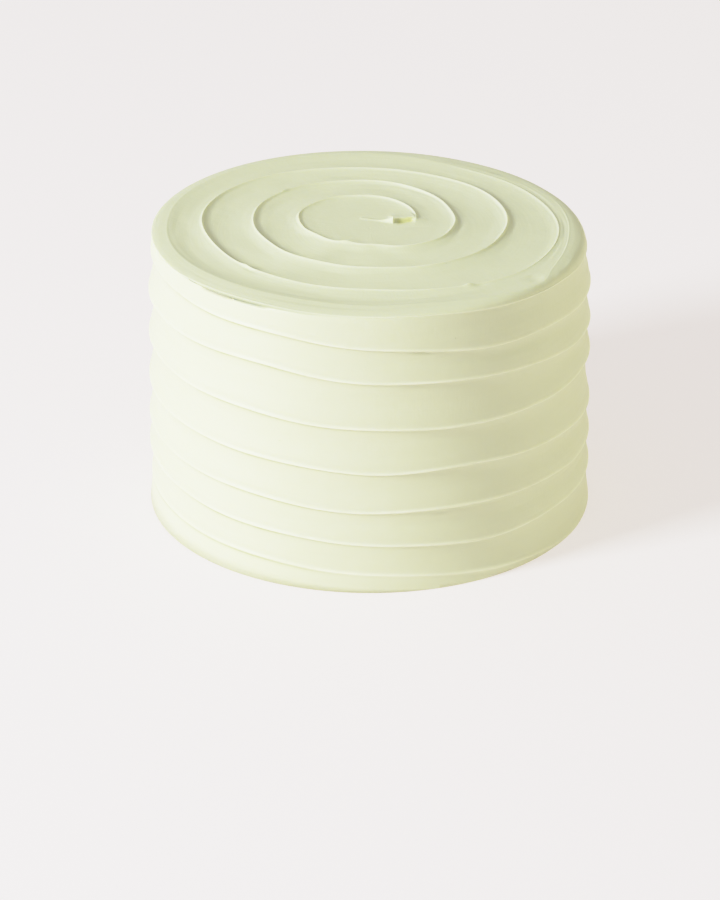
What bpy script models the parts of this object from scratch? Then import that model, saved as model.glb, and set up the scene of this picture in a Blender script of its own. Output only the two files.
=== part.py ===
"""Buttercream cake: a small round layer cake, iced all over, with one palette knife groove.

The knife was held against the turning cake, so its groove is one long winding. It starts at the
middle of the top, runs outward as a spiral, turns over the rim and goes down the side to the foot.
Between two turns of the groove stands a thin ridge of icing. The skin is modelled the same way, as
one strip that winds from the middle of the top to the foot and is welded to itself at the ridges.

Frame: metres, +Z up, origin on the cake's axis at the foot. The front faces -Y.
Sizes below are in millimetres and angles in degrees, measured from the front towards +X.
"""

import math

import bmesh
import bpy
import numpy as np

NAME = "buttercream_cake"
MM = 0.001

# Body: the side leans in a little towards the top, and the top's corner is crisp at the
# front left and round at the back right
SIDE_RADIUS = 84.4
LEAN_MEAN = 1.2
LEAN_LEFT = 0.2
LEAN_KEPT_TO_SIDE = 6
TOP_HEIGHT = 112.2
TOP_TILT = 0.35
TOP_TILT_AZIMUTH = -30.0
CORNER_MEAN = 3.3
CORNER_SWING = 2.5
CORNER_CRISP_AZIMUTH = -55.0
FOOT_FLARE = 0.9
FOOT_FLARE_HEIGHT = 9.0

# Distance of the spiral ridge from the axis, turn by turn, in six directions
SPIRAL_RADII = {
    0: (18.0, 39.6, 60.3, 74.5),
    60: (27.8, 47.6, 70.6, 79.0),
    120: (35.6, 55.7, 71.5, 78.6),
    180: (45.4, 58.3, 75.5, 80.5),
    240: (47.0, 65.6, 78.2, 83.6),
    300: (40.4, 60.3, 76.2, 84.0),
}
SPIRAL_START = ((60, 12.5), (107, 18.3), (120, 20.4), (180, 30.1), (240, 29.9), (300, 21.2))

# Where the last turns of the spiral stray from that: the inner one is full at the right, and the
# outer one runs off the rim at the front right, then starts afresh farther in
SPIRAL_STRAYS = ((3.21, 72.0), (3.25, 72.3), (3.31, 72.0), (3.35, 71.2), (3.4, 70.8), (3.753, 77.5),
                 (3.891, 73.8), (4.045, 75.4), (4.08, 78.0), (4.11, 80.2), (4.135, 82.4), (4.15, 82.0),
                 (4.18, 77.8), (4.22, 76.2), (4.27, 77.5))

# Height of the ridge on the side, turn by turn, in five directions seen from the front
RIDGE_HEIGHTS = {
    -60: (103.8, 88.5, 70.0, 51.9, 36.5, 23.9, 11.2),
    -30: (102.1, 88.7, 69.0, 51.0, 35.0, 21.8, 9.6),
    0: (98.8, 85.1, 66.4, 48.8, 32.9, 19.6, 7.4),
    30: (95.2, 83.5, 65.1, 48.6, 32.5, 17.0, 3.9),
    60: (93.4, 79.7, 64.8, 45.7, 30.8, 16.8, 0.6),
}
FIRST_SIDE_TURN = 6

# The ridge's way over the rim, as turn and distance along the skin, and its end below the foot
RIM_TURNS = ((4.85, 82.9), (4.88, 81.9), (4.91, 81.6), (4.95, 82.3), (5.0, 83.0), (5.07, 85.8),
             (5.12, 86.9), (5.178, 87.7), (5.203, 88.6), (5.25, 90.1), (5.5, 91.5))
BELOW_FOOT = ((12.55, -6.0), (13.1, -12.0))

# Depth of the groove's floor below the body, against the turn of the ridge at its inner or upper
# side, and depth of the ridge's crest, against its own turn
FLOOR_DEPTHS = ((0.26, 1.2), (0.8, 1.8), (2.3, 1.8), (2.7, 1.4), (3.13, 1.1), (3.16, 0.7), (3.35, 0.7),
                (3.5, 0.4), (3.7, 0.3), (4.1, 0.4), (4.2, 0.6), (4.6, 0.6), (4.75, 1.3), (5.0, 1.6),
                (5.3, 1.6), (6.0, 1.75), (10.2, 1.65), (10.9, 1.2), (11.3, 0.5), (12.1, 0.3))
CREST_DEPTHS = ((0.26, 1.2), (0.33, 0.0), (3.06, 0.0), (3.1, 0.35), (3.4, 0.35), (3.6, 0.1),
                (4.05, 0.0), (4.13, 0.3), (4.3, 0.3), (4.34, 0.5), (4.6, 0.4), (4.8, 0.8), (5.0, 0.9),
                (5.12, 0.5), (5.3, 0.6), (5.7, 0.8), (5.92, 0.0), (11.3, 0.0), (11.7, 0.7),
                (11.92, 0.1), (12.15, 0.2))
LEFT_DEEPER = 0.12
FRONT_SHALLOWER = 0.4

# The blade leaned to the front on the top: there the groove is deeper, and it falls away gently
# from the ridge at its inner side and ends in a steep one, and at the back the other way round
BLADE_AZIMUTH = -10.0
BLADE_DEEPER = 0.2
BLADE_TURNS = (0.3, 0.9)
GENTLE_REACH = 9.0
STEEP_REACH = 3.0

# How far a ridge reaches on the side, below it and above it
UNDER_REACH = 3.5
FLARE_REACH = 11.0
FULL_WIDTH = 13.0
LEAST_WIDTH = 0.05
SIDE_TURNS = (4.4, 5.3)

# Curl of icing where the knife was lifted: a thin ridge that rises to a peak, then a low ledge.
# Each part has its start, end, heights there, growth, and thickness in front and behind.
CURL_PARTS = (
    ((-3.3, 9.6), (9.0, 5.4), (0.0, 2.9), 1.8, 0.9, 1.3),
    ((9.3, 6.8), (17.6, 8.4), (0.3, 1.1), 1.0, 0.6, 3.5),
)
CURL_END = 0.7
HOLLOW_PLACE = (13.6, 5.2)
HOLLOW_SIZE = (4.0, 1.6)
HOLLOW_DEPTH = 0.6
CURL_REACH = 3.0
CURL_SPACING = 1.0
CURL_SPLITS = 4

# Strip: rows in mm from the ridge before and from the ridge after
START_TURN = -1.0
END_TURN = 12.5
SEGMENTS_PER_TURN = 80
ROWS_AFTER_RIDGE = (0.0, 1.4, 4.2)
ROWS_BEFORE_RIDGE = (5.6, 2.2, 0.0)
WELD_DISTANCE = 0.04
SLOPE_STEP = 0.25

ICING_COLOUR = (0.70, 0.73, 0.47, 1.0)
ICING_ROUGHNESS = 0.5
CREASE_ANGLE = 35.0


def flowing(x, knots, values):
    """Smooth curve through the knots, level with its neighbours' slope at each."""
    knots = np.asarray(knots, float)
    values = np.asarray(values, float)
    slopes = np.gradient(values, knots)
    i = np.clip(np.searchsorted(knots, x, side="right") - 1, 0, len(knots) - 2)
    width = knots[i + 1] - knots[i]
    t = np.clip((x - knots[i]) / width, 0.0, 1.0)
    rise = t * t * (3.0 - 2.0 * t)
    leave = t * (1.0 - t) ** 2 * width * slopes[i]
    arrive = t * t * (1.0 - t) * width * slopes[i + 1]
    return values[i] * (1.0 - rise) + values[i + 1] * rise + leave - arrive


def smooth_step(x, low, high):
    t = np.clip((x - low) / (high - low), 0.0, 1.0)
    return t * t * (3.0 - 2.0 * t)


def falling(x, reach):
    """One at x = 0, curving down to nothing at the reach."""
    return np.clip(1.0 - x / reach, 0.0, 1.0) ** 2


def ridge_knots():
    """The ridge's course along the skin, as pairs of turn and distance.

    Distance along the skin is the radius on the top, and past the corner it is the side's radius
    plus the depth below the top.
    """
    course = {0.0: 0.0}
    course.update({angle / 360.0: radius for angle, radius in SPIRAL_START})
    for angle, radii in SPIRAL_RADII.items():
        course.update({1 + k + angle / 360.0: radius for k, radius in enumerate(radii)})
    course.update(SPIRAL_STRAYS)
    course.update(RIM_TURNS)
    for angle, heights in RIDGE_HEIGHTS.items():
        for k, height in enumerate(heights):
            course[FIRST_SIDE_TURN + k + angle / 360.0] = SIDE_RADIUS + TOP_HEIGHT - height
    course.update({turn: SIDE_RADIUS + TOP_HEIGHT - height for turn, height in BELOW_FOOT})
    return sorted(course.items())


def ridge_distance(turn, knots):
    """Distance of the ridge along the skin, zero before it starts."""
    turns = [k[0] for k in knots]
    distances = [k[1] for k in knots]
    spread = flowing(np.maximum(turn, 0.0), turns, distances)
    return np.where(turn <= 0.0, 0.0, spread)


def table(turn, pairs):
    return np.interp(turn, *zip(*pairs))


def body_profile(distance, angle):
    """Radius and height of the body at a distance along the skin, before the groove."""
    corner = CORNER_MEAN - CORNER_SWING * np.cos(angle - math.radians(CORNER_CRISP_AZIMUTH))
    past = distance - SIDE_RADIUS
    crown = np.hypot(SIDE_RADIUS, corner) - SIDE_RADIUS
    reach = np.hypot(past, corner) - crown
    inside = SIDE_RADIUS - (reach - past) / 2.0
    height = TOP_HEIGHT - (reach + past) / 2.0
    leftness = -np.sin(angle)
    lean = (LEAN_MEAN + LEAN_LEFT * leftness) * (0.5 - height / TOP_HEIGHT)
    flare = FOOT_FLARE * np.clip(1.0 - height / FOOT_FLARE_HEIGHT, 0.0, 1.0)
    radius = inside + (lean + flare) * (inside / SIDE_RADIUS) ** LEAN_KEPT_TO_SIDE
    tilt = TOP_TILT * np.cos(angle - math.radians(TOP_TILT_AZIMUTH))
    height = height + tilt * (radius / SIDE_RADIUS) * smooth_step(height, 0.0, TOP_HEIGHT)
    return radius, height


def squeezed(width):
    """Share of its full size that a ridge's profile keeps in a narrow band."""
    return np.clip(width / FULL_WIDTH, LEAST_WIDTH / FULL_WIDTH, 1.0)


def groove(turn, across, width):
    """Depth of the skin below the body, at a place across the groove between two ridges."""
    azimuth = 2.0 * math.pi * turn
    side = smooth_step(turn + across, *SIDE_TURNS)
    blade = np.cos(azimuth - math.radians(BLADE_AZIMUTH)) * smooth_step(turn, *BLADE_TURNS)
    swing = BLADE_DEEPER * blade * (1.0 - side) - FRONT_SHALLOWER * side * np.maximum(np.cos(azimuth), 0.0)
    floor = table(turn, FLOOR_DEPTHS) * (1.0 - LEFT_DEEPER * side * np.sin(azimuth) + swing)
    past = across * width / squeezed(width)
    ahead = (1.0 - across) * width / squeezed(width)
    half = (GENTLE_REACH - STEEP_REACH) / 2.0 * blade
    middle = (GENTLE_REACH + STEEP_REACH) / 2.0
    flare = (1.0 - np.clip(ahead / FLARE_REACH, 0.0, 1.0) ** 2) ** 2
    near = falling(past, middle + half) * (1.0 - side) + falling(past, UNDER_REACH) * side
    far = falling(ahead, middle - half) * (1.0 - side) + flare * side
    crests = near * table(turn, CREST_DEPTHS) + far * table(turn + 1.0, CREST_DEPTHS)
    return floor * (1.0 - near - far) + crests


def row_place(row, width):
    """Share of the way across the band at a row, close together near both ridges."""
    first = len(ROWS_AFTER_RIDGE)
    after = np.array(ROWS_AFTER_RIDGE)[np.minimum(row, first - 1)] * squeezed(width)
    before = np.array(ROWS_BEFORE_RIDGE)[np.maximum(row - first, 0)] * squeezed(width)
    width = np.maximum(width, LEAST_WIDTH)
    return np.where(row < first, after / width, 1.0 - before / width)


def skin_point(turn, row, knots):
    """Places on the skin in millimetres, from the turn of the winding and the row of the strip."""
    angle = 2.0 * math.pi * turn
    near = ridge_distance(turn, knots)
    width = ridge_distance(turn + 1.0, knots) - near
    across = row_place(row, width)
    distance = near + width * across
    radius, height = body_profile(distance, angle)
    radius_on, height_on = body_profile(distance + SLOPE_STEP, angle)
    radius_back, height_back = body_profile(np.maximum(distance - SLOPE_STEP, 0.0), angle)
    run = radius_on - radius_back
    fall = height_back - height_on
    length = np.hypot(run, fall)
    depth = groove(turn, across, width)
    radius = radius - depth * fall / length
    height = height - depth * run / length
    return np.stack([radius * np.sin(angle), -radius * np.cos(angle), height], -1)


def wound_strip():
    """A flat grid laid along the winding, welded at its ridges and cut level at the foot."""
    mesh = bmesh.new()
    segments = round((END_TURN - START_TURN) * SEGMENTS_PER_TURN)
    rows = len(ROWS_AFTER_RIDGE) + len(ROWS_BEFORE_RIDGE) - 1
    bmesh.ops.create_grid(mesh, x_segments=segments, y_segments=rows, size=0.5)
    flat = np.array([vertex.co[:2] for vertex in mesh.verts]) + 0.5
    turn = START_TURN + np.round(flat[:, 0] * segments) / SEGMENTS_PER_TURN
    row = np.round(flat[:, 1] * rows).astype(int)
    for vertex, place in zip(mesh.verts, skin_point(turn, row, ridge_knots()) * MM):
        vertex.co = place
    bmesh.ops.remove_doubles(mesh, verts=mesh.verts, dist=WELD_DISTANCE * MM)
    everything = mesh.verts[:] + mesh.edges[:] + mesh.faces[:]
    bmesh.ops.bisect_plane(mesh, geom=everything, dist=WELD_DISTANCE * MM, plane_co=(0, 0, 0),
                           plane_no=(0, 0, -1), clear_outer=True)
    rim = [edge for edge in mesh.edges if edge.is_boundary]
    bmesh.ops.contextual_create(mesh, geom=rim)
    raise_curl(mesh)
    bmesh.ops.recalc_face_normals(mesh, faces=mesh.faces)
    bmesh.ops.triangulate(mesh, faces=mesh.faces)
    return mesh


def curl(x, y):
    """Height of the curl over the top: a thin ridge rising to a peak, then a low ledge past it."""
    place = np.stack([x, y], -1)
    total = np.zeros(np.shape(x))
    for start, end, heights, growth, front, behind in CURL_PARTS:
        along = np.array(end) - start
        length = math.hypot(*along)
        along = along / length
        run = (place - start) @ along
        off = (place - start) @ np.array([-along[1], along[0]])
        share = np.clip(run / length, 0.0, 1.0)
        rise = heights[0] + (heights[1] - heights[0]) * share ** growth
        beyond = np.maximum(run - length, 0.0) + np.maximum(-run, 0.0)
        thickness = np.where(off < 0.0, front, behind)
        part = rise * np.exp(-(off / thickness) ** 2 - (beyond / CURL_END) ** 2)
        total = np.maximum(total, part)
    hollow_x = (x - HOLLOW_PLACE[0]) / HOLLOW_SIZE[0]
    hollow_y = (y - HOLLOW_PLACE[1]) / HOLLOW_SIZE[1]
    return total - HOLLOW_DEPTH * np.exp(-hollow_x ** 2 - hollow_y ** 2)


def raise_curl(mesh):
    """Splits the top's long edges near the curl, then lifts the top to the curl's height."""
    floor = (TOP_HEIGHT - CURL_REACH) * MM
    for _ in range(CURL_SPLITS):
        long_edges = [edge for edge in mesh.edges if edge.calc_length() > CURL_SPACING * MM]
        top = [edge for edge in long_edges if edge.verts[0].co.z > floor]
        ends = np.array([[vertex.co[:2] for vertex in edge.verts] for edge in top]) / MM
        halves = np.array([edge.calc_length() for edge in top]) / (2.0 * MM)
        gaps = np.min([gap_to_line(ends.mean(axis=1), *part[:2]) for part in CURL_PARTS], axis=0)
        chosen = [edge for edge, near in zip(top, gaps < CURL_REACH + halves) if near]
        bmesh.ops.subdivide_edges(mesh, edges=chosen, cuts=1, use_grid_fill=True)
    lifted = [vertex for vertex in mesh.verts if vertex.co.z > floor]
    places = np.array([vertex.co[:2] for vertex in lifted]) / MM
    for vertex, lift in zip(lifted, curl(places[:, 0], places[:, 1])):
        vertex.co.z += float(lift) * MM


def gap_to_line(places, start, end):
    """Distance in mm from each place to the line between two points."""
    along = np.array(end) - start
    share = np.clip((places - start) @ along / (along @ along), 0.0, 1.0)
    return np.hypot(*(places - start - np.outer(share, along)).T)


def icing_material():
    material = bpy.data.materials.new("pale_green_buttercream")
    material.use_nodes = True
    shader = material.node_tree.nodes["Principled BSDF"]
    shader.inputs["Base Color"].default_value = ICING_COLOUR
    shader.inputs["Roughness"].default_value = ICING_ROUGHNESS
    shader.inputs["Metallic"].default_value = 0.0
    return material


def main():
    for old in list(bpy.data.objects):
        bpy.data.objects.remove(old, do_unlink=True)
    strip = wound_strip()
    data = bpy.data.meshes.new(NAME)
    strip.to_mesh(data)
    strip.free()
    data.shade_smooth()
    data.set_sharp_from_angle(angle=math.radians(CREASE_ANGLE))
    data.materials.append(icing_material())
    collection = bpy.data.collections.new(NAME)
    bpy.context.scene.collection.children.link(collection)
    collection.objects.link(bpy.data.objects.new(NAME, data))


main()
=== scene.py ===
"""Looks of the buttercream cake: one fine skin of icing, wound from the curl on the top to the foot.

Frame: metres, +Z up, the cake's axis at the origin, the front faces -Y. The form is worked out in
millimetres from the same winding as the part's solid, with finer ridges and the knife's small marks.
Angles are measured from the front towards +X, and a turn of the winding is one full circle.
"""

import math

import bmesh
import bpy
import numpy as np
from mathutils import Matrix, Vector


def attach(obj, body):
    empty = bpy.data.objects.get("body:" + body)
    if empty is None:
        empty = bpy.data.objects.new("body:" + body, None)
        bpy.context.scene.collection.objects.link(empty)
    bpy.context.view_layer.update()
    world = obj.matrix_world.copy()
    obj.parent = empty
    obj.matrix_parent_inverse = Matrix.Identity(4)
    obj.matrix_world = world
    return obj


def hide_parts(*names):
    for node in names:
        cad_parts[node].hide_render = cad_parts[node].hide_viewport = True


NODE = "buttercream_cake"
MM = 0.001

# Camera, from the photo: a long lens a little above the cake, seen from -Y
VIEW_ELEVATION = 26.38
VIEW_DISTANCE = 1.5589
VIEW_TARGET = (-0.0037, 0.0, 0.0171)
LENS_MM = 160.0
SENSOR_MM = 36.0

# Tone of the photo: straight up to a brightness, then easing towards white
TONE_START = 0.61
TONE_WHITE = 0.98
TONE_RANGE = 2.5
TONE_STEPS = 10

# Body, mm: the side leans in a little towards the top, and the top's corner is crisp at
# the front left and round at the back right
SIDE_RADIUS = 84.4
LEAN_MEAN = 1.2
LEAN_LEFT = 0.2
LEAN_KEPT_TO_SIDE = 6
TOP_HEIGHT = 112.2
TOP_TILT = 0.35
TOP_TILT_AZIMUTH = -30.0
CORNER_MEAN = 3.3
CORNER_SWING = 2.5
CORNER_CRISP_AZIMUTH = -55.0
FOOT_FLARE = 0.78
FOOT_FLARE_HEIGHT = 9.0

# Distance of the spiral ridge from the axis, turn by turn, in six directions
SPIRAL_RADII = {
    0: (18.0, 39.6, 60.3, 74.5),
    60: (27.8, 47.6, 70.6, 79.0),
    120: (35.6, 55.7, 71.5, 78.6),
    180: (45.4, 58.3, 75.5, 80.5),
    240: (47.0, 65.6, 78.2, 83.6),
    300: (40.4, 60.3, 76.2, 84.0),
}
SPIRAL_START = ((60, 12.5), (107, 18.3), (120, 20.4), (180, 30.1), (240, 29.9), (300, 21.2))

# Where the last turns of the spiral stray from that: the inner one is full at the right, and the
# outer one runs off the rim at the front right, then starts afresh farther in
SPIRAL_STRAYS = ((3.21, 72.0), (3.25, 72.3), (3.31, 72.0), (3.35, 71.2), (3.4, 70.8), (3.753, 77.5),
                 (3.891, 73.8), (4.045, 75.4), (4.08, 78.0), (4.11, 80.2), (4.135, 82.4), (4.15, 82.0),
                 (4.18, 77.8), (4.22, 76.2), (4.27, 77.5))

# Height of the ridge on the side, turn by turn, in five directions seen from the front
RIDGE_HEIGHTS = {
    -60: (103.8, 88.5, 70.0, 51.9, 36.5, 23.9, 11.2),
    -30: (102.1, 88.7, 69.0, 51.0, 35.0, 21.8, 9.6),
    0: (98.8, 85.1, 66.4, 48.8, 32.9, 19.6, 7.4),
    30: (95.2, 83.5, 65.1, 48.6, 32.5, 17.0, 3.9),
    60: (93.4, 79.7, 64.8, 45.7, 30.8, 16.8, 0.6),
}
FIRST_SIDE_TURN = 6
RIM_TURNS = ((4.85, 82.9), (4.88, 81.9), (4.91, 81.6), (4.95, 82.3), (5.0, 83.0), (5.07, 85.8),
             (5.12, 86.9), (5.178, 87.7), (5.203, 88.6), (5.25, 90.1), (5.5, 91.5))
BELOW_FOOT = ((12.55, -6.0), (13.1, -12.0))

# Depth of the groove's floor below the body, against the turn of the ridge at its inner or upper
# side, and depth of the ridge's crest, against its own turn. On the side, the floor is deeper at
# the left and shallower at the front by these shares.
FLOOR_DEPTHS = ((0.26, 1.2), (0.8, 1.8), (2.3, 1.8), (2.7, 1.4), (3.13, 1.1), (3.16, 0.7), (3.35, 0.7),
                (3.5, 0.4), (3.7, 0.3), (4.1, 0.4), (4.2, 0.6), (4.6, 0.6), (4.75, 1.3), (5.0, 1.6),
                (5.3, 1.6), (6.0, 1.75), (10.2, 1.65), (10.9, 1.2), (11.3, 0.5), (12.1, 0.3))
CREST_DEPTHS = ((0.26, 1.2), (0.33, 0.0), (3.06, 0.0), (3.1, 0.35), (3.4, 0.35), (3.6, 0.1),
                (4.05, 0.0), (4.13, 0.3), (4.3, 0.3), (4.34, 0.5), (4.6, 0.4), (4.8, 0.8), (5.0, 0.9),
                (5.12, 0.5), (5.3, 0.6), (5.7, 0.8), (5.92, 0.0), (11.3, 0.0), (11.7, 0.7),
                (11.92, 0.1), (12.15, 0.2))
LEFT_DEEPER = 0.12
FRONT_SHALLOWER = 0.4

# The knife's tilt on the top: at this azimuth the groove is deepest and ends in a steep wall at its
# outer ridge, and opposite it the groove is shallowest, with the steep wall at its inner ridge. The
# tilt comes in over the first turns.
BLADE_AZIMUTH = -10.0
BLADE_DEEPER = 0.2
BLADE_TURNS = (0.3, 0.9)

# Ridge on the top, mm: it falls away over its reach, with a share of the fall in one steep step. The
# shares are for its outer and its inner side, each opposite the tilt and at the tilt.
TOP_REACH = 9.5
TOP_STEP = 0.75
OUTER_STEP_SHARES = (0.7, 0.05)
INNER_STEP_SHARES = (0.05, 0.7)

# Ridge on the side, mm: below the crest it steps back and falls away, and above it the groove flares
# out to the crest in a round. The side's form takes over from the top's between these turns.
UNDER_REACH = 6.0
UNDER_STEP = 0.6
UNDER_STEP_SHARE = 0.4
FLARE_REACH = 11.0
SIDE_TURNS = (4.4, 5.3)

# How sharp the ridge is, against its turn. It is wholly crisp from CRISP_AT on, and a blunt one
# falls away from its crest by a power of the distance.
CRISP_AT = 0.3
BLUNT_POWER = 1.5
SHARPNESS = ((0.3, 0.0), (0.36, 0.7), (3.06, 0.8), (3.1, 0.35), (3.4, 0.3), (3.44, 0.0), (4.15, 0.0),
             (4.18, 0.15), (4.28, 0.15), (4.33, 0.0), (4.7, 0.0), (4.8, 0.35), (5.02, 0.4), (5.14, 0.5),
             (5.2, 0.2), (5.8, 0.15), (5.88, 0.9), (11.25, 1.0), (11.6, 0.5), (11.9, 0.9), (12.1, 0.7),
             (12.2, 0.2))

# Thin lip that the knife's edge left on a sharp ridge, and the painted highlight, a paler colour along
# the crest: their reach in mm, first on the groove above or inside the crest, then on the one below or
# outside it. Both are weaker on the top, and the painted highlight fades where the side turns to the left.
LIP_HEIGHT = 0.45
LIP_REACH = (0.6, 0.4)
TOP_LIP_SHARE = 0.6
HIGHLIGHT_REACH = (0.75, 0.45)
HIGHLIGHT_ON_TOP = 0.55
HIGHLIGHT_STRENGTH = 1.4
HIGHLIGHT_FADE = 0.85

# Painted shade of the ridge's shadow, a dark line of colour just below the crest, mm, which comes in where
# the side turns to the left
CREASE_SHADE_PLACE = 0.8
CREASE_SHADE_WIDTH = 0.45
LEFT_SIDE_FROM = (-0.1, 0.6)

# Fine line just above the side's ridges, mm, and the azimuths where it starts, is full, fades and ends
SCRATCH_DEPTH = 0.22
SCRATCH_PLACE = 1.7
SCRATCH_WIDTH = 0.4
SCRATCH_AZIMUTHS = (-75.0, -55.0, -25.0, 5.0)

# Small marks along the ridge: turn, place past the ridge, length, width and height, in mm. A mark
# belongs to its ridge only within a part of a turn.
MARK_TURNS = 0.4
RIDGE_MARKS = (
    (0.917, 0.0, 2.0, 0.7, 0.5),
    (0.672, 1.2, 9.0, 0.4, -0.25),
    (1.622, 0.4, 2.2, 0.6, 0.6),
    (1.632, 1.2, 2.5, 0.5, -0.5),
    (2.861, -0.3, 2.0, 0.6, 0.5),
    (2.868, 0.9, 3.0, 0.5, -0.45),
    (3.093, -0.2, 1.6, 0.8, 0.9),
    (3.103, 1.0, 2.2, 0.6, -0.5),
    (4.145, -4.0, 3.0, 3.0, -0.5),
    (6.036, 1.0, 3.6, 0.5, -0.7),
    (7.033, 1.7, 3.0, 0.5, -0.7),
    (7.117, 2.2, 2.2, 0.6, -0.5),
    (7.883, 2.2, 7.0, 0.5, 0.3),
    (9.125, 1.8, 8.0, 0.5, 0.35),
    (9.9, 1.8, 1.6, 0.6, -0.5),
    (10.05, 2.0, 2.0, 0.5, -0.5),
    (10.808, -1.0, 0.8, 0.7, -0.8),
    (10.956, -0.5, 1.6, 0.6, -0.5),
    (12.094, 0.6, 9.0, 1.2, 0.45),
)

# Unevenness of the knife's work: waves of the ridge's course in mm and of the groove's depth, each
# with a range of waves a turn, and drag lines in mm, which lie side by side across the groove
# over a length in mm and slant with the turn
WANDER = 0.16
WANDER_SPEEDS = (3.0, 11.0)
DEPTH_SWING = 0.07
SWING_SPEEDS = (2.0, 9.0)
DRAG_DEPTH = 0.035
DRAG_SPEEDS = (1.0, 9.0)
DRAG_LENGTH = 10.0
DRAG_SLANT = 0.13
WAVE_COUNT = 9
SEED = 7
UNEVEN_FROM = (0.3, 0.6)

# Icing's colours: cloudy between light and dark, a painted highlight paler along the crests, and
# painted shade, olive on the wall of the hollow by the curl and dark just below the crests. Relief
# heights are in mm, and scales are grains a metre: one for all directions, or along the groove and across
# it.
ICING_LIGHT = (0.715, 0.74, 0.51, 1.0)
ICING_DARK = (0.69, 0.715, 0.485, 1.0)
ICING_CREST_HIGHLIGHT = (0.85, 0.87, 0.65, 1.0)
ICING_HOLLOW_SHADE = (0.70, 0.71, 0.35, 1.0)
ICING_CREASE_SHADE = (0.47, 0.50, 0.24, 1.0)
CLOUD_SHARE = 0.5
CLOUD_SCALE = 28.0
SMEAR_SCALES = (14.0, 160.0, 1.0)
# Patchy strength of the painted highlight and painted shade: its range, and its scales along the groove and
# across it
PAINTED_LIGHT_PATCH_RANGE = (0.45, 1.0)
PAINTED_LIGHT_PATCH_SCALES = (55.0, 55.0, 1.0)
ROUGHNESS_RANGE = (0.42, 0.56)
SATIN_SCALES = (60.0, 700.0, 1.0)
CHATTER_HEIGHT = 0.035
CHATTER_SCALES = (850.0, 90.0, 1.0)
STREAK_HEIGHT = 0.05
STREAK_SCALES = (16.0, 700.0, 1.0)
GRAIN_HEIGHT = 0.012
GRAIN_SCALE = 2600.0
LUMP_HEIGHT = 0.12
LUMP_SCALE = 190.0
PITS_A_METRE = 420.0
PIT_SHARE = 0.012
PIT_HEIGHT = 0.25
PIT_RIM = (0.02, 0.09)
ICING_IOR = 1.45
SCATTER_WEIGHT = 0.3
SCATTER_RADIUS = (1.0, 0.9, 0.5)
SCATTER_SCALE = 0.0016

# Names of the skin's map and of its shares of painted highlight and painted shade, as the material reads
# them
WINDING_MAP = "along_the_groove"
CREST_HIGHLIGHT_NAME = "painted_crest_highlight"
CREASE_SHADE_NAME = "crease_shade"
HOLLOW_SHADE_NAME = "hollow_shade"

# Strip along the winding: its turns, and its rows in mm below the upper or inner ridge and above the
# lower or outer one. A band under the full width squeezes its rows and ridges, but not to nothing.
# The body's slope is measured over a step in mm to both sides.
START_TURN = -1.0
END_TURN = 12.5
SEGMENTS_PER_TURN = 400
ROWS_BELOW = (0.0, 0.2, 0.45, 0.8, 1.3, 2.2, 3.6, 5.4)
ROWS_ABOVE = (7.2, 5.2, 3.5, 2.3, 1.5, 1.0, 0.65, 0.3, 0.0)
ROWS_FULL_WIDTH = 13.0
LEAST_SQUEEZE = 0.05
NEARLY_NONE = 0.001
SLOPE_STEP = 0.25
WELD_DISTANCE = 0.01

# Curl of icing where the knife was lifted, mm: a thin ridge that rises to a peak, then a low ledge.
# Each has its start, end, heights there, growth, thickness in front and behind, and fade. The mesh
# is split within the curl's reach until its edges are no longer than the spacing.
CURL_RIDGE = ((-3.3, 9.6), (9.0, 5.4), (0.25, 2.7), 4.0, 0.7, 1.0, 0.35)
CURL_LEDGE = ((9.3, 6.6), (16.6, 8.3), (1.3, 1.0), 1.0, 0.5, 5.0, 1.0)
CURL_REACH = 4.5
CURL_SPACING = 0.3
CURL_SPLITS = 6

# Hollow in front of the ledge, mm: its depth, and how far the ledge hangs over it. It comes in and
# fades near the ledge's two ends, and in front of the ledge its floor, the painted shade on its wall, and
# its overhang each start, are full, fade and end at these places.
HOLLOW_DEPTH = 0.6
HOLLOW_UNDERCUT = 0.6
HOLLOW_START = (-0.3, 2.5)
HOLLOW_END = (-1.5, 0.5)
HOLLOW_FLOOR = (0.0, 0.5, 1.0, 5.0)
HOLLOW_WALL_SHADE = (-0.2, 0.3, 1.2, 3.0)
HOLLOW_UNDER = (0.3, 1.2, 1.2, 5.0)

# Floor and light: sizes in metres. A light has its azimuth and elevation, distance, width and
# height, power in watts, and colour.
FLOOR_SIZE = 6.0
FLOOR_PLACE = (0.0, 1.0, -0.0002)
FLOOR_COLOUR = (0.50, 0.485, 0.485, 1.0)
FLOOR_ROUGHNESS = 0.8
FLOOR_GLOW = (1.0, 0.90, 0.885, 1.0)
FLOOR_GLOW_STRENGTH = 0.54
WINDOW = (-60.0, 28.0, 2.2, (0.5, 0.5), 53.0, (0.87, 0.92, 1.0))
WARM_WALL = (100.0, 15.0, 2.4, (2.0, 1.6), 11.0, (1.0, 0.97, 0.27))
LIGHTS_AIM_HEIGHT = 0.06
ROOM_COLOUR = (1.0, 0.98, 0.97, 1.0)
ROOM_STRENGTH = 0.53


def flowing(x, knots, values):
    """Smooth curve through the knots, with the slope between the neighbours at each."""
    knots = np.asarray(knots, float)
    values = np.asarray(values, float)
    slopes = np.gradient(values, knots)
    i = np.clip(np.searchsorted(knots, x, side="right") - 1, 0, len(knots) - 2)
    width = knots[i + 1] - knots[i]
    t = np.clip((x - knots[i]) / width, 0.0, 1.0)
    rise = t * t * (3.0 - 2.0 * t)
    leave = t * (1.0 - t) ** 2 * width * slopes[i]
    arrive = t * t * (1.0 - t) * width * slopes[i + 1]
    return values[i] * (1.0 - rise) + values[i + 1] * rise + leave - arrive


def smooth_step(x, low, high):
    t = np.clip((x - low) / (high - low), 0.0, 1.0)
    return t * t * (3.0 - 2.0 * t)


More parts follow.
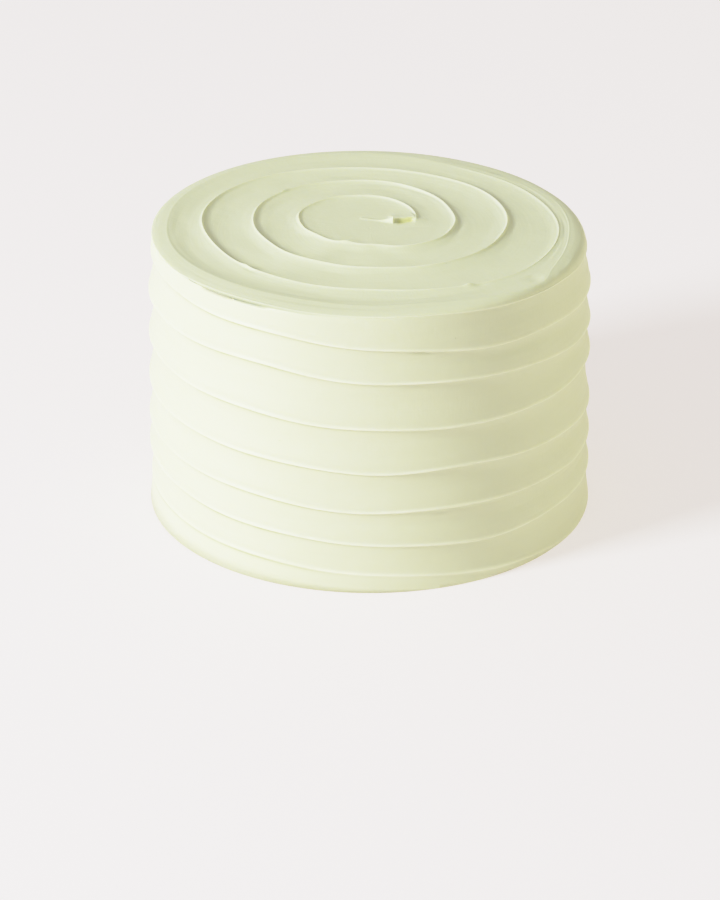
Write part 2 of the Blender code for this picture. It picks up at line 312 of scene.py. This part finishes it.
def stretch(x, start, full, fade, end):
    """Share that rises from start to full and falls again from fade to end."""
    return smooth_step(x, start, full) * (1.0 - smooth_step(x, fade, end))


def mix(first, second, share):
    return first + (second - first) * share


def ridge_knots():
    """The ridge's course along the skin, as pairs of turn and distance.

    Distance along the skin is the radius on the top, and past the corner it is the side's radius
    plus the depth below the top.
    """
    course = {0.0: 0.0}
    course.update({angle / 360.0: radius for angle, radius in SPIRAL_START})
    for angle, radii in SPIRAL_RADII.items():
        course.update({1 + k + angle / 360.0: radius for k, radius in enumerate(radii)})
    course.update(SPIRAL_STRAYS)
    course.update(RIM_TURNS)
    for angle, heights in RIDGE_HEIGHTS.items():
        for k, height in enumerate(heights):
            course[FIRST_SIDE_TURN + k + angle / 360.0] = SIDE_RADIUS + TOP_HEIGHT - height
    course.update({turn: SIDE_RADIUS + TOP_HEIGHT - height for turn, height in BELOW_FOOT})
    return sorted(course.items())


def ridge_distance(turn, knots):
    """Distance of the ridge along the skin, zero before it starts."""
    turns = [k[0] for k in knots]
    distances = [k[1] for k in knots]
    spread = flowing(np.maximum(turn, 0.0), turns, distances)
    wander = WANDER * smooth_step(turn, *UNEVEN_FROM) * waves(turn, *WANDER_SPEEDS, SEED)
    return np.where(turn <= 0.0, 0.0, spread + wander)


def waves(turn, slowest, fastest, seed):
    """Seeded uneven curve of about unit height, from waves per turn slowest to fastest."""
    dice = np.random.default_rng(seed)
    total = 0.0
    for speed, phase in zip(dice.uniform(slowest, fastest, WAVE_COUNT), dice.uniform(0.0, 1.0, WAVE_COUNT)):
        total = total + np.sin(2.0 * math.pi * (speed * turn + phase))
    return total / math.sqrt(WAVE_COUNT / 2.0)


def body_profile(distance, angle):
    """Radius and height of the body at a distance along the skin, before the groove."""
    corner = CORNER_MEAN - CORNER_SWING * np.cos(angle - math.radians(CORNER_CRISP_AZIMUTH))
    past = distance - SIDE_RADIUS
    crown = np.hypot(SIDE_RADIUS, corner) - SIDE_RADIUS
    reach = np.hypot(past, corner) - crown
    inside = SIDE_RADIUS - (reach - past) / 2.0
    height = TOP_HEIGHT - (reach + past) / 2.0
    leftness = -np.sin(angle)
    lean = (LEAN_MEAN + LEAN_LEFT * leftness) * (0.5 - height / TOP_HEIGHT)
    flare = FOOT_FLARE * np.clip(1.0 - height / FOOT_FLARE_HEIGHT, 0.0, 1.0)
    radius = inside + (lean + flare) * (inside / SIDE_RADIUS) ** LEAN_KEPT_TO_SIDE
    tilt = TOP_TILT * np.cos(angle - math.radians(TOP_TILT_AZIMUTH))
    height = height + tilt * (radius / SIDE_RADIUS) * smooth_step(height, 0.0, TOP_HEIGHT)
    return radius, height


def groove(turn, across, width):
    """Depth of the skin below the body across the groove, and its shares of painted highlight and painted
    shade.
    """
    azimuth = 2.0 * math.pi * turn
    side = smooth_step(turn + across, *SIDE_TURNS)
    uneven = smooth_step(turn + across, *UNEVEN_FROM)
    swing = 1.0 + DEPTH_SWING * uneven * waves(turn + across, *SWING_SPEEDS, SEED + 1)
    tilt = np.cos(azimuth - math.radians(BLADE_AZIMUTH)) * smooth_step(turn, *BLADE_TURNS)
    front = np.maximum(np.cos(azimuth), 0.0)
    floor = table(turn, FLOOR_DEPTHS) * (1.0 - LEFT_DEEPER * side * np.sin(azimuth)) * swing
    floor = floor * (1.0 + BLADE_DEEPER * tilt * (1.0 - side) - FRONT_SHALLOWER * side * front)

    squeeze = np.clip(width / ROWS_FULL_WIDTH, LEAST_SQUEEZE, 1.0)
    down = across * width / squeeze
    up = (1.0 - across) * width / squeeze
    near_sharp = table(turn, SHARPNESS)
    far_sharp = table(turn + 1.0, SHARPNESS)
    outer = mix(*OUTER_STEP_SHARES, 0.5 + 0.5 * tilt)
    inner = mix(*INNER_STEP_SHARES, 0.5 + 0.5 * tilt)
    top_near = ridge_side(down, TOP_REACH, TOP_STEP, outer, near_sharp)
    top_far = ridge_side(up, TOP_REACH, TOP_STEP, inner, far_sharp)
    side_near = ridge_side(down, UNDER_REACH, UNDER_STEP, UNDER_STEP_SHARE, near_sharp)
    side_far = (1.0 - np.clip(up / FLARE_REACH, 0.0, 1.0) ** 2) ** 2
    near = mix(top_near, side_near, side)
    far = mix(top_far, side_far, side)
    between = 1.0 - near - far
    depth = floor * between + near * table(turn, CREST_DEPTHS) + far * table(turn + 1.0, CREST_DEPTHS)

    drag_place = across * width / DRAG_LENGTH + DRAG_SLANT * turn
    drag = DRAG_DEPTH * uneven * between * waves(drag_place, *DRAG_SPEEDS, SEED + 2)
    lip = beside_crests(up, down, far_sharp, near_sharp, LIP_REACH)
    lip = LIP_HEIGHT * mix(TOP_LIP_SHARE, 1.0, side) * lip
    depth = depth + drag - lip + scratch(turn, up, side * far_sharp)

    left = smooth_step(-np.sin(azimuth), *LEFT_SIDE_FROM)
    # Painted highlight: the share of a paler colour along the crests, standing in for the light they catch
    edge = beside_crests(up, down, far_sharp, near_sharp, HIGHLIGHT_REACH)
    edge = np.clip((HIGHLIGHT_STRENGTH - HIGHLIGHT_FADE * left) * edge, 0.0, 1.0) * mix(HIGHLIGHT_ON_TOP, 1.0, side)
    # Painted shade: the share of a darker colour where the ridge's shadow falls just below the crest
    crease_shade = side * near_sharp * left * np.exp(-((down - CREASE_SHADE_PLACE) / CREASE_SHADE_WIDTH) ** 2)
    return depth, edge, crease_shade


def beside_crests(up, down, far_sharp, near_sharp, reach):
    """Share of what lies close to the two ridges, as sharp as they are."""
    return far_sharp * np.exp(-(up / reach[0]) ** 2) + near_sharp * np.exp(-(down / reach[1]) ** 2)


def table(turn, pairs):
    """Value at a turn, from pairs of turn and value with straight lines between them."""
    return np.interp(turn, *zip(*pairs))


def ridge_side(gap, reach, step, step_share, sharp):
    """Share of the ridge that is left at a gap from its crest: a crisp one or a blunt one."""
    rest = 1.0 - np.clip(gap / reach, 0.0, 1.0)
    crisp = step_share * np.exp(-gap / step) * rest + (1.0 - step_share) * rest ** 2
    return mix(rest ** BLUNT_POWER, crisp, smooth_step(sharp, 0.0, CRISP_AT))


def scratch(turn, up, strength):
    """Depth of the fine line that runs just above the side's ridges at the front left."""
    azimuth = (360.0 * turn + 180.0) % 360.0 - 180.0
    there = stretch(azimuth, *SCRATCH_AZIMUTHS)
    return SCRATCH_DEPTH * strength * there * np.exp(-((up - SCRATCH_PLACE) / SCRATCH_WIDTH) ** 2)


def marks(turn, across, width, radius):
    """Height of the small marks, each on one ridge and so on the grooves at both its sides."""
    total = np.zeros(np.shape(turn))
    for place, past, length, thickness, height in RIDGE_MARKS:
        for ridge_turn, offset in ((turn, across * width), (turn + 1.0, (across - 1.0) * width)):
            along = (ridge_turn - place) * 2.0 * math.pi * radius / length
            beside = (offset - past) / thickness
            owned = np.abs(ridge_turn - place) < MARK_TURNS
            part = height * np.exp(-along ** 2 - beside ** 2) * owned
            total = np.where(np.abs(part) > np.abs(total), part, total)
    return total


def skin_point(turn, row, knots):
    """Places on the skin in mm, with the distance along it and the shares of painted highlight and painted
    shade.
    """
    angle = 2.0 * math.pi * turn
    near = ridge_distance(turn, knots)
    far = ridge_distance(turn + 1.0, knots)
    width = far - near
    across = row_place(row, width)
    distance = near + width * across
    radius, height = body_profile(distance, angle)
    radius_on, height_on = body_profile(distance + SLOPE_STEP, angle)
    radius_back, height_back = body_profile(np.maximum(distance - SLOPE_STEP, 0.0), angle)
    run = radius_on - radius_back
    fall = height_back - height_on
    length = np.hypot(run, fall)
    depth, edge, crease_shade = groove(turn, across, width)
    depth = depth - marks(turn, across, width, radius)
    radius = radius - depth * fall / length
    height = height - depth * run / length
    places = np.stack([radius * np.sin(angle), -radius * np.cos(angle), height], -1)
    return places, distance, edge, crease_shade


def row_place(row, width):
    """Share of the way across the band at a row, close together near both ridges."""
    squeeze = np.clip(width / ROWS_FULL_WIDTH, NEARLY_NONE, 1.0)
    below = np.array(ROWS_BELOW)[np.minimum(row, len(ROWS_BELOW) - 1)] * squeeze
    above = np.array(ROWS_ABOVE)[np.maximum(row - len(ROWS_BELOW), 0)] * squeeze
    width = np.maximum(width, NEARLY_NONE)
    return np.where(row < len(ROWS_BELOW), below / width, 1.0 - above / width)


def wound_strip():
    """A flat grid laid along the winding, welded at its ridges and cut level at the foot."""
    mesh = bmesh.new()
    segments = round((END_TURN - START_TURN) * SEGMENTS_PER_TURN)
    rows = len(ROWS_BELOW) + len(ROWS_ABOVE) - 1
    bmesh.ops.create_grid(mesh, x_segments=segments, y_segments=rows, size=0.5)
    flat = np.array([vertex.co[:2] for vertex in mesh.verts]) + 0.5
    turn = START_TURN + np.round(flat[:, 0] * segments) / SEGMENTS_PER_TURN
    row = np.round(flat[:, 1] * rows).astype(int)
    # Places, and the shares of painted highlight and painted shade, kept on the vertices for the material
    places, distance, highlight_share, crease_shade_share = skin_point(turn, row, ridge_knots())
    lay_winding_map(mesh, turn, distance)
    highlight_layer = mesh.verts.layers.float.new(CREST_HIGHLIGHT_NAME)
    crease_shade_layer = mesh.verts.layers.float.new(CREASE_SHADE_NAME)
    for vertex, place, crest_highlight, painted_shade in zip(mesh.verts, places * MM, highlight_share, crease_shade_share):
        vertex.co = place
        vertex[highlight_layer] = crest_highlight
        vertex[crease_shade_layer] = painted_shade
    bmesh.ops.remove_doubles(mesh, verts=mesh.verts, dist=WELD_DISTANCE * MM)
    everything = mesh.verts[:] + mesh.edges[:] + mesh.faces[:]
    bmesh.ops.bisect_plane(mesh, geom=everything, dist=WELD_DISTANCE * MM, plane_co=(0, 0, 0),
                           plane_no=(0, 0, -1), clear_outer=True)
    rim = [edge for edge in mesh.edges if edge.is_boundary]
    for edge in rim:
        for vertex in edge.verts:
            vertex.co.z = 0.0
    bmesh.ops.contextual_create(mesh, geom=rim)
    bmesh.ops.recalc_face_normals(mesh, faces=mesh.faces)
    raise_curl(mesh)
    return mesh


def lay_winding_map(mesh, turn, distance):
    """UV map in metres: along the groove, and across it by the distance along the skin."""
    steps = np.arange(START_TURN, END_TURN, 1.0 / SEGMENTS_PER_TURN)
    radii = np.clip(ridge_distance(steps + 0.5, ridge_knots()), 0.0, SIDE_RADIUS)
    lengths = np.cumsum(2.0 * math.pi * radii / SEGMENTS_PER_TURN)
    run = np.interp(turn, steps, lengths) * MM
    layer = mesh.loops.layers.uv.new(WINDING_MAP)
    mesh.verts.index_update()
    for face in mesh.faces:
        for loop in face.loops:
            i = loop.vert.index
            loop[layer].uv = (run[i], distance[i] * MM)


def along_part(place, part):
    """Run along a part of the curl and gap beside it, in mm, and the part's length."""
    along = np.array(part[1]) - part[0]
    length = math.hypot(*along)
    along = along / length
    return (place - part[0]) @ along, (place - part[0]) @ np.array([-along[1], along[0]]), length


def curl(x, y):
    """How far the curl moves the top up and back, in mm, and its share of painted shade on the wall in
    front of the ledge.
    """
    place = np.stack([x, y], -1)
    lift = np.zeros(np.shape(x))
    for part in (CURL_RIDGE, CURL_LEDGE):
        run, off, length = along_part(place, part)
        heights, growth, front, behind, fade = part[2:]
        share = np.clip(run / length, 0.0, 1.0)
        rise = mix(*heights, share ** growth)
        beyond = np.maximum(run - length, 0.0) + np.maximum(-run, 0.0)
        thickness = np.where(off < 0.0, front, behind)
        lift = np.maximum(lift, rise * np.exp(-(off / thickness) ** 2 - (beyond / fade) ** 2))
    run, off, length = along_part(place, CURL_LEDGE)
    ends = stretch(run, *HOLLOW_START, length + HOLLOW_END[0], length + HOLLOW_END[1])
    lift = lift - HOLLOW_DEPTH * ends * stretch(-off, *HOLLOW_FLOOR)
    back = HOLLOW_UNDERCUT * ends * stretch(-off, *HOLLOW_UNDER)
    return lift, back, ends * stretch(-off, *HOLLOW_WALL_SHADE)


def raise_curl(mesh):
    """Splits the top's long edges near the curl, then moves the top as the curl says."""
    floor = (TOP_HEIGHT - CURL_REACH) * MM
    for _ in range(CURL_SPLITS):
        long_edges = [edge for edge in mesh.edges if edge.calc_length() > CURL_SPACING * MM]
        top = [edge for edge in long_edges if edge.verts[0].co.z > floor]
        ends = np.array([[vertex.co[:2] for vertex in edge.verts] for edge in top]) / MM
        halves = np.array([edge.calc_length() for edge in top]) / (2.0 * MM)
        middles = ends.mean(axis=1)
        gaps = np.minimum(gap_to_line(middles, *CURL_RIDGE[:2]), gap_to_line(middles, *CURL_LEDGE[:2]))
        chosen = [edge for edge, near in zip(top, gaps < CURL_REACH + halves) if near]
        bmesh.ops.subdivide_edges(mesh, edges=chosen, cuts=1, use_grid_fill=True)
    # Share of painted shade on the wall in front of the ledge, kept on the vertices for the material
    hollow_shade = mesh.verts.layers.float.new(HOLLOW_SHADE_NAME)
    lifted = [vertex for vertex in mesh.verts if vertex.co.z > floor]
    places = np.array([vertex.co[:2] for vertex in lifted]) / MM
    for vertex, lift, back, share in zip(lifted, *curl(places[:, 0], places[:, 1])):
        vertex.co.z += float(lift) * MM
        vertex.co.y += float(back) * MM
        vertex[hollow_shade] = float(share)


def gap_to_line(places, start, end):
    """Distance in mm from each place to the line between two points."""
    along = np.array(end) - start
    share = np.clip((places - start) @ along / (along @ along), 0.0, 1.0)
    return np.hypot(*(places - start - np.outer(share, along)).T)


class Nodes:
    """A material's node tree, with short ways to add a node and to join values."""

    def __init__(self, name):
        self.material = bpy.data.materials.new(name)
        self.material.use_nodes = True
        self.tree = self.material.node_tree
        self.shader = self.tree.nodes["Principled BSDF"]

    def add(self, kind, values=None, **settings):
        node = self.tree.nodes.new("ShaderNode" + kind)
        for key, value in settings.items():
            setattr(node, key, value)
        for key, value in (values or {}).items():
            self.put(node.inputs[key], value)
        return node

    def put(self, socket, value):
        if isinstance(value, bpy.types.NodeSocket):
            self.tree.links.new(value, socket)
        else:
            socket.default_value = value

    def math(self, operation, first, second):
        return self.add("Math", {0: first, 1: second}, operation=operation).outputs[0]

    def mix(self, share, first, second):
        return self.add("Mix", {0: share, 6: first, 7: second}, data_type="RGBA").outputs[2]

    def attribute(self, name):
        return self.add("Attribute", attribute_name=name).outputs["Fac"]

    def spread(self, value, low, high, start=0.3, end=0.7):
        """The value's range from start to end, laid out from low to high."""
        values = {"Value": value, "From Min": start, "From Max": end, "To Min": low, "To Max": high}
        return self.add("MapRange", values, clamp=True).outputs["Result"]

    def noise(self, place, scale, detail=2.0, stretch=(1.0, 1.0, 1.0)):
        """Noise around 0.5, with a scale in grains a metre for each direction."""
        scaled = self.add("VectorMath", {0: place, 1: stretch}, operation="MULTIPLY").outputs[0]
        values = {"Vector": scaled, "Scale": scale, "Detail": detail}
        return self.add("TexNoise", values).outputs["Fac"]


def icing_material():
    """Buttercream: satin and a little see-through, with the knife's streaks and a few open pits."""
    nodes = Nodes("pale_green_buttercream")
    shader = nodes.shader
    place = nodes.add("TexCoord").outputs["Object"]
    along = nodes.add("UVMap", uv_map=WINDING_MAP).outputs["UV"]

    cloud = nodes.spread(nodes.noise(place, CLOUD_SCALE, 3.0), 0.0, CLOUD_SHARE)
    smear = nodes.spread(nodes.noise(along, 1.0, 3.0, SMEAR_SCALES), 0.0, 1.0 - CLOUD_SHARE)
    # Patchy strength of the painted highlight and painted shade
    painted_light_patches = nodes.spread(nodes.noise(along, 1.0, 2.0, PAINTED_LIGHT_PATCH_SCALES), *PAINTED_LIGHT_PATCH_RANGE)
    # Painted highlight: a paler colour along the crests
    painted_highlight = nodes.math("MULTIPLY", nodes.attribute(CREST_HIGHLIGHT_NAME), painted_light_patches)
    # Painted shade: a darker colour just below the crests
    painted_shade = nodes.math("MULTIPLY", nodes.attribute(CREASE_SHADE_NAME), painted_light_patches)
    colour = nodes.mix(nodes.math("ADD", cloud, smear), ICING_DARK, ICING_LIGHT)
    colour = nodes.mix(painted_highlight, colour, ICING_CREST_HIGHLIGHT)
    colour = nodes.mix(painted_shade, colour, ICING_CREASE_SHADE)
    # Painted shade: olive on the wall in front of the curl's ledge
    colour = nodes.mix(nodes.attribute(HOLLOW_SHADE_NAME), colour, ICING_HOLLOW_SHADE)
    nodes.put(shader.inputs["Base Color"], colour)

    satin = nodes.noise(along, 1.0, 2.0, SATIN_SCALES)
    nodes.put(shader.inputs["Roughness"], nodes.spread(satin, *ROUGHNESS_RANGE))

    chatter = nodes.math("MULTIPLY", nodes.noise(along, 1.0, 2.0, CHATTER_SCALES), CHATTER_HEIGHT)
    streaks = nodes.math("MULTIPLY", nodes.noise(along, 1.0, 3.0, STREAK_SCALES), STREAK_HEIGHT)
    grain = nodes.math("MULTIPLY", nodes.noise(place, GRAIN_SCALE), GRAIN_HEIGHT)
    lumps = nodes.math("MULTIPLY", nodes.noise(place, LUMP_SCALE), LUMP_HEIGHT)
    height = nodes.math("ADD", nodes.math("ADD", chatter, streaks), nodes.math("ADD", grain, lumps))
    height = nodes.math("ADD", height, pit_height(nodes, place))
    bump = nodes.add("Bump", {"Height": height, "Distance": MM, "Strength": 1.0})
    nodes.put(shader.inputs["Normal"], bump.outputs["Normal"])

    shader.inputs["IOR"].default_value = ICING_IOR
    shader.inputs["Subsurface Weight"].default_value = SCATTER_WEIGHT
    shader.inputs["Subsurface Radius"].default_value = SCATTER_RADIUS
    shader.inputs["Subsurface Scale"].default_value = SCATTER_SCALE
    return nodes.material


def pit_height(nodes, place):
    """Height of the few open pits: few cells have one, and it is round and at the cell's point."""
    cells = nodes.add("TexVoronoi", {"Vector": place, "Scale": PITS_A_METRE, "Randomness": 1.0})
    draw = nodes.add("SeparateColor", {"Color": cells.outputs["Color"]}).outputs[0]
    chosen = nodes.math("GREATER_THAN", draw, 1.0 - PIT_SHARE)
    pit = nodes.spread(cells.outputs["Distance"], -PIT_HEIGHT, 0.0, *PIT_RIM)
    return nodes.math("MULTIPLY", pit, chosen)


def make_skin():
    strip = wound_strip()
    data = bpy.data.meshes.new("icing_skin")
    strip.to_mesh(data)
    strip.free()
    data.shade_smooth()
    data.materials.append(icing_material())
    skin = bpy.data.objects.new("icing_skin", data)
    bpy.context.scene.collection.objects.link(skin)
    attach(skin, "root")
    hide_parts(NODE)


def make_floor():
    bpy.ops.mesh.primitive_plane_add(size=FLOOR_SIZE, location=FLOOR_PLACE)
    floor = bpy.context.object
    floor.name = "floor"
    material = bpy.data.materials.new("pale_floor")
    material.use_nodes = True
    shader = material.node_tree.nodes["Principled BSDF"]
    shader.inputs["Base Color"].default_value = FLOOR_COLOUR
    shader.inputs["Roughness"].default_value = FLOOR_ROUGHNESS
    shader.inputs["Emission Color"].default_value = FLOOR_GLOW
    shader.inputs["Emission Strength"].default_value = FLOOR_GLOW_STRENGTH
    floor.data.materials.append(material)


def area_light(name, azimuth, elevation, distance, size, power, colour):
    angle, lift = math.radians(azimuth), math.radians(elevation)
    away = Vector((math.sin(angle) * math.cos(lift), -math.cos(angle) * math.cos(lift), math.sin(lift)))
    light = bpy.data.lights.new(name, "AREA")
    light.shape = "RECTANGLE"
    light.size, light.size_y = size
    light.energy = power
    light.color = colour
    lamp = bpy.data.objects.new(name, light)
    lamp.location = Vector((0.0, 0.0, LIGHTS_AIM_HEIGHT)) + away * distance
    lamp.rotation_euler = away.to_track_quat("Z", "Y").to_euler()
    bpy.context.scene.collection.objects.link(lamp)


def set_light():
    area_light("window", *WINDOW)
    area_light("warm_wall", *WARM_WALL)
    world = bpy.data.worlds.new("soft_room")
    world.use_nodes = True
    sky = world.node_tree.nodes["Background"]
    sky.inputs["Color"].default_value = ROOM_COLOUR
    sky.inputs["Strength"].default_value = ROOM_STRENGTH
    bpy.context.scene.world = world


def set_tone():
    """Plain view with a soft shoulder, as bright places in the photo ease towards white."""
    view = bpy.context.scene.view_settings
    view.view_transform = "Standard"
    view.use_curve_mapping = True
    tone = view.curve_mapping
    tone.white_level = (TONE_RANGE, TONE_RANGE, TONE_RANGE)
    curve = tone.curves[3]
    for step in range(1, TONE_STEPS):
        light = TONE_RANGE * step / TONE_STEPS
        curve.points.new(light / TONE_RANGE, eased(light))
    curve.points[-1].location = (1.0, eased(TONE_RANGE))
    tone.update()


def eased(light):
    if light < TONE_START:
        return light
    room = TONE_WHITE - TONE_START
    return TONE_START + room * (1.0 - math.exp((TONE_START - light) / room))


def set_camera():
    lift = math.radians(VIEW_ELEVATION)
    data = bpy.data.cameras.new("camera")
    data.lens = LENS_MM
    data.sensor_width = SENSOR_MM
    data.clip_start = 0.05
    data.clip_end = 30.0
    camera = bpy.data.objects.new("camera", data)
    target = Vector(VIEW_TARGET)
    camera.location = target + Vector((0.0, -math.cos(lift), math.sin(lift))) * VIEW_DISTANCE
    camera.rotation_euler = (target - camera.location).to_track_quat("-Z", "Y").to_euler()
    bpy.context.scene.collection.objects.link(camera)
    bpy.context.scene.camera = camera


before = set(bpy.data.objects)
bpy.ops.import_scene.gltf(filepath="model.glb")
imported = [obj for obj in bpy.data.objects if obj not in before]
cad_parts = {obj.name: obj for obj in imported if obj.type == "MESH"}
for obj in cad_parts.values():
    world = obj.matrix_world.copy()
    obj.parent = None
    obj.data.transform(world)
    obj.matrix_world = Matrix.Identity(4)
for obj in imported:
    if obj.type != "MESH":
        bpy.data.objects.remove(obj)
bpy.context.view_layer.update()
set_camera()
set_light()
set_tone()
make_floor()
make_skin()
